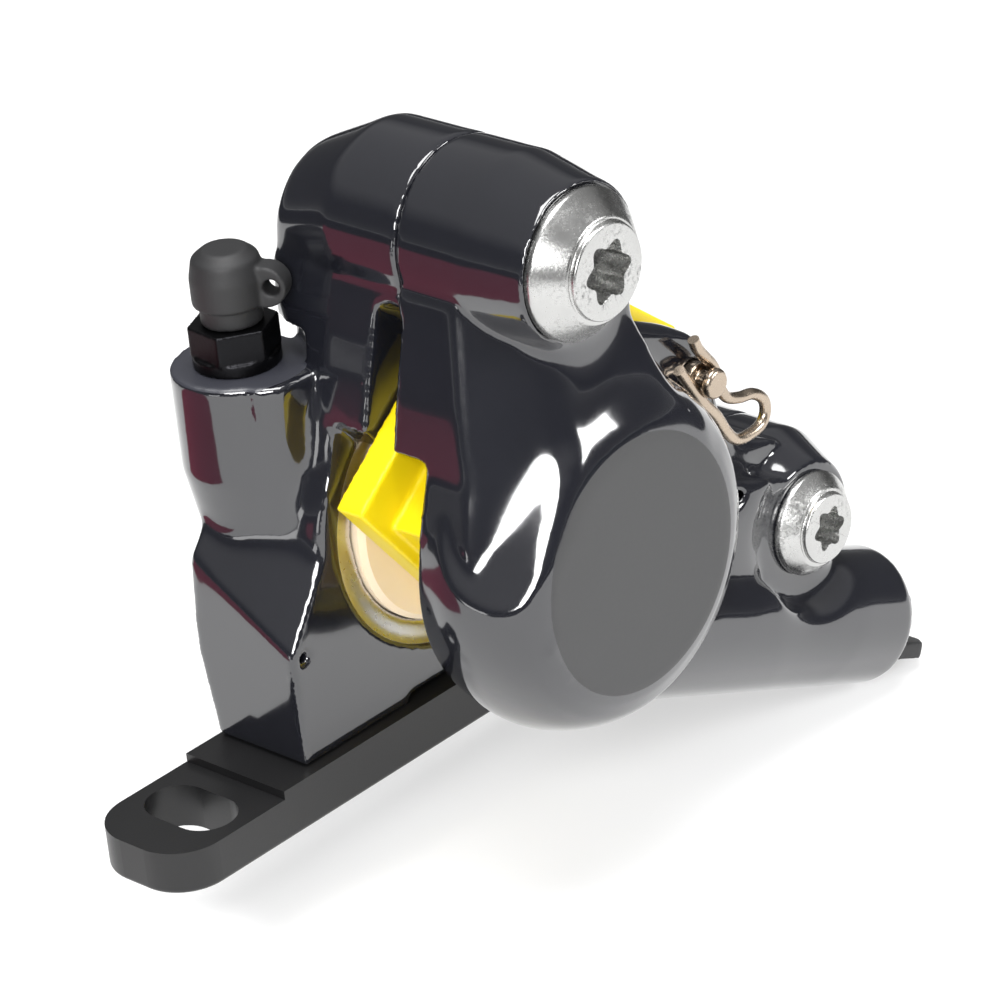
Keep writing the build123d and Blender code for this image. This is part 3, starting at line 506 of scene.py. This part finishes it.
def eased(mesh, passes, share=None):
    """Rounds a mesh's edges by moving each vertex towards its neighbours, by a share where one is given."""
    count = len(mesh.vertices)
    places = np.empty(count * 3)
    mesh.vertices.foreach_get("co", places)
    places = places.reshape(-1, 3)
    ends = np.empty(len(mesh.edges) * 2, dtype=np.int32)
    mesh.edges.foreach_get("vertices", ends)
    first, second = ends.reshape(-1, 2).T
    weight = np.ones(count) if share is None else share(places / MM)
    touched = (weight[first] > 0) | (weight[second] > 0)
    first, second = first[touched], second[touched]
    chosen, ends = np.unique(np.concatenate((first, second)), return_inverse=True)
    first, second = ends[:len(first)], ends[len(first):]
    count = len(chosen)
    moved = places[chosen]
    weight = EASING_SHARE * weight[chosen, None]
    degree = np.bincount(first, minlength=count) + np.bincount(second, minlength=count)
    for _ in range(passes):
        total = np.stack([
            np.bincount(first, moved[second, k], count) + np.bincount(second, moved[first, k], count)
            for k in range(3)], axis=1)
        moved += (total / degree[:, None] - moved) * weight
    places[chosen] = moved
    mesh.vertices.foreach_set("co", places.ravel())
    mesh.update()


def softened(name, node, voxel, passes, blends=(), most=0):
    """A merged copy of a CAD node, meshed evenly and with its edges rounded, more so at the blends."""
    item = copy_of(name, node)
    item.data.transform(TILT)
    even = item.modifiers.new("even", "REMESH")
    even.mode = "VOXEL"
    even.voxel_size = voxel * MM
    even.adaptivity = 0.0
    finished(item)
    item.data.transform(TILT.inverted())
    for more, share in blends:
        eased(item.data, more, share)
    eased(item.data, passes)
    triangles = sum(len(face.vertices) - 2 for face in item.data.polygons)
    if most and triangles > most:
        fewer = item.modifiers.new("fewer", "DECIMATE")
        fewer.ratio = most / triangles
        finished(item)
    for face in item.data.polygons:
        face.use_smooth = True
    return item


def steadied(item):
    """Leads the normals by the larger faces, so that thin faces along a crease don't show."""
    for face in item.data.polygons:
        face.use_smooth = True
    steady = item.modifiers.new("steady", "WEIGHTED_NORMAL")
    steady.mode = "FACE_AREA"
    steady.weight = LARGE_FACE_WEIGHT
    finished(item)


def near(centre, radius, fade):
    """A share that is one inside a ball and fades to nothing over a distance, in millimetres."""
    def share(places):
        out = np.linalg.norm(places - np.array(centre), axis=1)
        return np.clip((radius + fade - out) / fade, 0.0, 1.0)
    return share


def stand_in(item, node, material):
    """Makes a finished piece take a CAD node's place, on its body and with its slot."""
    record = frame["record"]
    body = next(key for key, nodes in record["behaviour"]["bodies"].items() if node in nodes)
    item.data.materials.clear()
    item.data.materials.append(material)
    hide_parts(node)
    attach(item, body)


def card(name, corners, tone, strength):
    """A plain stage card that only the gloss reflects: the camera and the floor don't see it."""
    work = bmesh.new()
    work.faces.new([work.verts.new(corner) for corner in corners])
    item = from_work(name, work, False)
    kit = Finish(name)
    tone = (*tone, 1.0)
    item.data.materials.append(kit.surface(
        Base_Color=(0.0, 0.0, 0.0, 1.0), Roughness=1.0, Emission_Color=tone, Emission_Strength=strength))
    item.visible_camera = False
    item.visible_diffuse = False
    item.visible_shadow = False


def from_work(name, work, smooth=True):
    """Turns a bmesh in millimetres into an object in metres."""
    bmesh.ops.recalc_face_normals(work, faces=work.faces)
    mesh = bpy.data.meshes.new(name)
    bmesh.ops.scale(work, vec=(MM, MM, MM), verts=work.verts)
    work.to_mesh(mesh)
    work.free()
    for face in mesh.polygons:
        face.use_smooth = smooth
    return new_object(name, mesh)


def turned(profile, origin, direction, steps):
    """A solid of revolution: profile of (radius, place along the direction), closed on the axis."""
    direction = Vector(direction).normalized()
    side = direction.orthogonal().normalized()
    other = direction.cross(side)
    work = bmesh.new()
    rings = []
    for radius, along in profile:
        if radius < 1e-6:
            rings.append([work.verts.new(Vector(origin) + direction * along)])
            continue
        ring = []
        for step in range(steps):
            angle = 2 * math.pi * step / steps
            ring.append(work.verts.new(Vector(origin) + direction * along
                                       + (side * math.cos(angle) + other * math.sin(angle)) * radius))
        rings.append(ring)
    for low, high in zip(rings, rings[1:]):
        for step in range(steps):
            after = (step + 1) % steps
            if len(low) == 1 and len(high) == 1:
                continue
            if len(low) == 1:
                work.faces.new((low[0], high[step], high[after]))
            elif len(high) == 1:
                work.faces.new((low[step], low[after], high[0]))
            else:
                work.faces.new((low[step], low[after], high[after], high[step]))
    return work


def rounded(profile, radius, steps=5):
    """A profile whose inner corners are rounded by arcs."""
    points = [Vector(p) for p in profile]
    result = [tuple(points[0])]
    for before, corner, after in zip(points, points[1:], points[2:]):
        back = before - corner
        on = after - corner
        room = min(radius, back.length * CORNER_SHARE, on.length * CORNER_SHARE)
        start = corner + back.normalized() * room
        end = corner + on.normalized() * room
        for step in range(steps + 1):
            t = step / steps
            result.append(tuple(start * (1 - t) ** 2 + corner * 2 * t * (1 - t) + end * t ** 2))
    result.append(tuple(points[-1]))
    return result


def cut_by(item, cutter):
    """Cuts an object by another, which is then removed."""
    modifier = item.modifiers.new("cut", "BOOLEAN")
    modifier.operation = "DIFFERENCE"
    modifier.solver = "EXACT"
    modifier.object = cutter
    finished(item)
    mesh = cutter.data
    bpy.data.objects.remove(cutter)
    bpy.data.meshes.remove(mesh)


def round_bars(name, bars):
    """One object of closed round bars, each (start, end, radius) in millimetres."""
    work = bmesh.new()
    for start, end, radius in bars:
        reach = Vector(end) - Vector(start)
        profile = [(0.0, 0.0), (radius, 0.0), (radius, reach.length), (0.0, reach.length)]
        bar = turned(profile, start, reach, BORE_SIDES)
        mesh = bpy.data.meshes.new("bar")
        bar.to_mesh(mesh)
        bar.free()
        work.from_mesh(mesh)
        bpy.data.meshes.remove(mesh)
    return from_work(name, work)


def socket_bar(name, centre, radius, low, high):
    """A six-lobed bar along Y, for cutting a bolt's socket."""
    work = bmesh.new()
    rings = []
    for y in (low, high):
        ring = []
        for step in range(BOLT_SIDES):
            angle = 2 * math.pi * step / BOLT_SIDES
            out = radius * (1.0 - LOBE_SHARE + LOBE_SHARE * math.cos(LOBES * angle))
            place = (centre.x + out * math.cos(angle), y, centre.z + out * math.sin(angle))
            ring.append(work.verts.new(place))
        rings.append(ring)
    for step in range(BOLT_SIDES):
        after = (step + 1) % BOLT_SIDES
        work.faces.new((rings[0][step], rings[0][after], rings[1][after], rings[1][step]))
    work.faces.new(rings[0])
    work.faces.new(list(reversed(rings[1])))
    return from_work(name, work)


# Finishes are made once, and shared by the pieces
finishes = {}


class CALIPER_OT_finishes(bpy.types.Operator):
    """Makes the finishes that the pieces share"""

    bl_idname = "caliper.finishes"
    bl_label = "Finishes"

    def execute(self, context):
        coating = context.scene.caliper_coating
        metal = context.scene.caliper_metal
        plastic = context.scene.caliper_plastic
        finishes["mount"] = coated_metal(
            "mount_half_coating", coating.body, roughness=0.1, wave_size=coating.grain)
        finishes["wheel"] = coated_metal(
            "wheel_half_coating", coating.body, roughness=0.1, wave_size=coating.grain,
            disc_tone=coating.disc)
        finishes["plate"] = satin_coating("plate_satin", coating.plate, roughness=0.36)
        finishes["zinc"] = plated_metal("bolt_zinc", metal.zinc, roughness=0.14, scratch=0.14, speckle=0.8)
        finishes["bronze"] = plated_metal("clip_bronze", metal.bronze, roughness=0.18, scratch=0.08)
        finishes["dark"] = plated_metal("black_plating", metal.dark, roughness=0.3, scratch=0.1)
        finishes["yellow"] = moulded(
            "spacer_yellow", plastic.yellow, roughness=0.32, grain_height=FINE_RELIEF, subsurface=0.1)
        finishes["cream"] = moulded(
            "piston_cream", plastic.cream, roughness=0.5, grain_height=FINE_RELIEF, subsurface=0.1)
        finishes["rubber"] = moulded(
            "black_rubber", plastic.rubber, roughness=0.6, grain_height=RUBBER_RELIEF)
        return {"FINISHED"}


class CALIPER_OT_mount_half(bpy.types.Operator):
    """Makes the half on the plate with its edges and blends rounded"""

    bl_idname = "caliper.mount_half"
    bl_label = "Mount half"

    def execute(self, context):
        blends = [(passes, near(*region)) for passes, *region in MOUNT_BLENDS]
        item = softened("mount_half_shell", "mount_half", HALF_VOXEL, HALF_PASSES, blends, HALF_TRIANGLES)
        cut_by(item, round_bars("mount_half_bores", MOUNT_BORES))
        steadied(item)
        stand_in(item, "mount_half", finishes["mount"])
        return {"FINISHED"}


class CALIPER_OT_wheel_half(bpy.types.Operator):
    """Makes the half by the wheel with its edges and blends rounded"""

    bl_idname = "caliper.wheel_half"
    bl_label = "Wheel half"

    def execute(self, context):
        blends = [(passes, near(*region)) for passes, *region in WHEEL_BLENDS]
        item = softened("wheel_half_shell", "wheel_half", HALF_VOXEL, HALF_PASSES, blends, HALF_TRIANGLES)
        cut_by(item, round_bars("wheel_half_bores", WHEEL_BORES))
        steadied(item)
        stand_in(item, "wheel_half", finishes["wheel"])
        return {"FINISHED"}


class CALIPER_OT_body_bolts(bpy.types.Operator):
    """Makes the two body bolts with coned heads and six-lobed sockets"""

    bl_idname = "caliper.body_bolts"
    bl_label = "Body bolts"

    def execute(self, context):
        for node, centre, end, seat, flange, edge, cone, face, socket, depth in BODY_BOLTS:
            tip = SHANK_RADIUS - SHANK_CHAMFER
            rim = face - FACE_STEP
            profile = [(0.0, end), (tip, end), (SHANK_RADIUS, end + SHANK_CHAMFER), (SHANK_RADIUS, seat),
                       (flange, seat), (flange, seat + edge), (cone + FACE_RIM, rim),
                       (cone - FACE_INSET, rim), (cone - FACE_INSET, face), (0.0, face)]
            outline = rounded(profile, BOLT_ROUNDING)
            item = from_work(node + "_piece", turned(outline, centre, (0.0, -1.0, 0.0), BOLT_SIDES))
            cut_by(item, socket_bar("socket", centre, socket, -face - SOCKET_OVERRUN, depth - face))
            bevel = item.modifiers.new("edges", "BEVEL")
            bevel.width = BOLT_EDGE * MM
            bevel.segments = 2
            bevel.limit_method = "ANGLE"
            bevel.angle_limit = BOLT_BEVEL_ANGLE
            finished(item)
            for polygon in item.data.polygons:
                polygon.use_smooth = True
            item.data.set_sharp_from_angle(angle=BOLT_SHARP_ANGLE)
            stand_in(item, node, finishes["zinc"])
        return {"FINISHED"}


class CALIPER_OT_small_parts(bpy.types.Operator):
    """Makes the nipple, cap, spacer, axle and plug with rounded edges, and dresses the rest"""

    bl_idname = "caliper.small_parts"
    bl_label = "Small parts"

    def execute(self, context):
        for node, voxel, passes, key in EASED_PIECES:
            stand_in(softened(node + "_piece", node, voxel, passes), node, finishes[key])
        for node, key in DRESSED_NODES:
            give(node, finishes[key])
        return {"FINISHED"}


class CALIPER_OT_clip(bpy.types.Operator):
    """Makes the sprung wire clip along its path"""

    bl_idname = "caliper.clip"
    bl_label = "Clip"

    def execute(self, context):
        route = [Vector((AXLE.x + AXLE_RADIUS * along, CLIP_Y, AXLE.z + AXLE_RADIUS * up)) * MM
                 for along, up in CLIP_SHARES]
        curve = bpy.data.curves.new("axle_clip_route", "CURVE")
        curve.dimensions = "3D"
        spline = curve.splines.new("BEZIER")
        spline.bezier_points.add(len(route) - 1)
        for index, (point, place) in enumerate(zip(spline.bezier_points, route)):
            before = route[max(index - 1, 0)]
            after = route[min(index + 1, len(route) - 1)]
            pull = (after - before).normalized()
            point.co = place
            point.handle_left = place - pull * (place - before).length / 3
            point.handle_right = place + pull * (after - place).length / 3
        spline.resolution_u = ROUTE_STEPS
        carrier = bpy.data.objects.new("axle_clip_route", curve)
        context.scene.collection.objects.link(carrier)
        graph = bpy.context.evaluated_depsgraph_get()
        line = bpy.data.meshes.new_from_object(carrier.evaluated_get(graph))
        bpy.data.objects.remove(carrier)
        item = new_object("axle_clip_piece", line)

        tree = bpy.data.node_groups.new("wire_along_path", "GeometryNodeTree")
        tree.interface.new_socket("Geometry", in_out="INPUT", socket_type="NodeSocketGeometry")
        thickness = tree.interface.new_socket("Wire Radius", in_out="INPUT", socket_type="NodeSocketFloat")
        finish = tree.interface.new_socket("Finish", in_out="INPUT", socket_type="NodeSocketMaterial")
        tree.interface.new_socket("Geometry", in_out="OUTPUT", socket_type="NodeSocketGeometry")
        entry = tree.nodes.new("NodeGroupInput")
        to_curve = tree.nodes.new("GeometryNodeMeshToCurve")
        circle = tree.nodes.new("GeometryNodeCurvePrimitiveCircle")
        circle.inputs["Resolution"].default_value = WIRE_SIDES
        to_mesh = tree.nodes.new("GeometryNodeCurveToMesh")
        to_mesh.inputs["Fill Caps"].default_value = True
        shade = tree.nodes.new("GeometryNodeSetShadeSmooth")
        plain = tree.nodes.new("GeometryNodeRealizeInstances")
        dress = tree.nodes.new("GeometryNodeSetMaterial")
        leave = tree.nodes.new("NodeGroupOutput")
        for out, into in (
                (entry.outputs["Geometry"], to_curve.inputs["Mesh"]),
                (entry.outputs["Wire Radius"], circle.inputs["Radius"]),
                (to_curve.outputs["Curve"], to_mesh.inputs["Curve"]),
                (circle.outputs["Curve"], to_mesh.inputs["Profile Curve"]),
                (to_mesh.outputs["Mesh"], shade.inputs["Geometry"]),
                (shade.outputs["Geometry"], plain.inputs["Geometry"]),
                (plain.outputs["Geometry"], dress.inputs["Geometry"]),
                (entry.outputs["Finish"], dress.inputs["Material"]),
                (dress.outputs["Geometry"], leave.inputs["Geometry"])):
            tree.links.new(out, into)
        modifier = item.modifiers.new("wire", "NODES")
        modifier.node_group = tree
        modifier[thickness.identifier] = WIRE_RADIUS * MM
        modifier[finish.identifier] = finishes["bronze"]
        finished(item)
        stand_in(item, "axle_clip", finishes["bronze"])
        return {"FINISHED"}


class CALIPER_OT_stage(bpy.types.Operator):
    """Sets the pale floor, the soft lights and the camera"""

    bl_idname = "caliper.stage"
    bl_label = "Stage"

    def execute(self, context):
        scene = context.scene
        low = Vector(cad_box[0])
        bpy.ops.mesh.primitive_plane_add(size=FLOOR_SIZE, location=(0.0, 0.0, low.z - FLOOR_DROP))
        floor = context.object
        floor.name = "stage_floor"
        kit = Finish("stage_floor")
        tone = scene.caliper_stage.floor
        glow = (*tone, 1.0)
        floor.data.materials.append(kit.surface(
            Base_Color=rgba(tone, FLOOR_SHARE), Roughness=0.9, Emission_Color=glow,
            Emission_Strength=FLOOR_GLOW))

        low_z = low.z / MM
        room = scene.caliper_stage.room
        for name, place, size in ROOM_CARDS:
            corners = [(place[0] + size[0] * x, place[1] + size[1] * y, low_z + ROOM_RISE)
                       for x, y in ROOM_SHARES]
            card(name, corners, room, strength=1.0)
        rise = Vector((0.0, 0.0, low_z + CURTAIN_RISE))
        corners = [CURTAIN_OUT * out + CURTAIN_SIDE * side + rise for out, side in CURTAIN_CORNERS]
        card("curtain", corners, scene.caliper_stage.curtain, strength=1.0)
        near_y, far_y = EDGE_CARD_Y
        corners = [(EDGE_CARD_X, near_y, low_z), (EDGE_CARD_X, far_y, low_z),
                   (EDGE_CARD_X, far_y, EDGE_CARD_TOP), (EDGE_CARD_X, near_y, EDGE_CARD_TOP)]
        card("edge_card", corners, WHITE, EDGE_CARD_STRENGTH)

        world = bpy.data.worlds.new("studio")
        world.use_nodes = True
        nodes = world.node_tree.nodes
        links = world.node_tree.links
        coordinates = nodes.new("ShaderNodeTexCoord")
        split = nodes.new("ShaderNodeSeparateXYZ")
        ramp = nodes.new("ShaderNodeValToRGB")
        for spot, tone in SKY_STOPS:
            element = ramp.color_ramp.elements.new(spot)
            element.color = rgba(WHITE, tone)
        ramp.color_ramp.elements[0].color = rgba(WHITE, SKY_LOW)
        ramp.color_ramp.elements[-1].color = rgba(WHITE, SKY_HIGH)
        links.new(coordinates.outputs["Generated"], split.inputs[0])
        links.new(split.outputs["Z"], ramp.inputs[0])
        links.new(ramp.outputs[0], nodes["Background"].inputs[0])
        nodes["Background"].inputs[1].default_value = 1.0
        scene.world = world

        for name, place, size, power in LAMPS:
            lamp = bpy.data.lights.new(name, "AREA")
            lamp.size = size
            lamp.energy = power
            item = new_object(name, lamp)
            item.location = place
            item.rotation_euler = (LAMP_TARGET - Vector(place)).to_track_quat("-Z", "Y").to_euler()

        camera = bpy.data.cameras.new("camera")
        camera.lens = CAMERA_LENS
        camera.sensor_width = CAMERA_SENSOR
        camera.clip_end = CAMERA_FAR
        item = new_object("camera", camera)
        turn = Matrix((CAMERA_RIGHT, CAMERA_UP, CAMERA_BACK)).transposed().to_4x4()
        item.matrix_world = Matrix.Translation(CAMERA_PLACE) @ turn
        scene.camera = item
        scene.view_settings.view_transform = "Standard"
        return {"FINISHED"}


STEPS = (CALIPER_OT_finishes, CALIPER_OT_mount_half, CALIPER_OT_wheel_half, CALIPER_OT_body_bolts,
         CALIPER_OT_small_parts, CALIPER_OT_clip, CALIPER_OT_stage)
GROUPS = (("caliper_coating", CoatingSettings), ("caliper_metal", MetalSettings),
          ("caliper_plastic", PlasticSettings), ("caliper_stage", StageSettings))


class CALIPER_PT_panel(bpy.types.Panel):
    """Lists the caliper's steps and settings"""

    bl_label = "Brake caliper"
    bl_idname = "CALIPER_PT_panel"
    bl_space_type = "VIEW_3D"
    bl_region_type = "UI"
    bl_category = "Caliper"

    def draw(self, context):
        for key, group in GROUPS:
            box = self.layout.box()
            for prop in group.__annotations__:
                box.prop(getattr(context.scene, key), prop)
        for step in STEPS:
            self.layout.operator(step.bl_idname)


def register():
    for key, group in GROUPS:
        bpy.utils.register_class(group)
        setattr(bpy.types.Scene, key, bpy.props.PointerProperty(type=group))
    for step in STEPS:
        bpy.utils.register_class(step)
    bpy.utils.register_class(CALIPER_PT_panel)


def unregister():
    bpy.utils.unregister_class(CALIPER_PT_panel)
    for step in reversed(STEPS):
        bpy.utils.unregister_class(step)
    for key, group in reversed(GROUPS):
        delattr(bpy.types.Scene, key)
        bpy.utils.unregister_class(group)


def main():
    register()
    for step in STEPS:
        group, name = step.bl_idname.split(".")
        getattr(getattr(bpy.ops, group), name)()


if __name__ == "__main__":
    main()
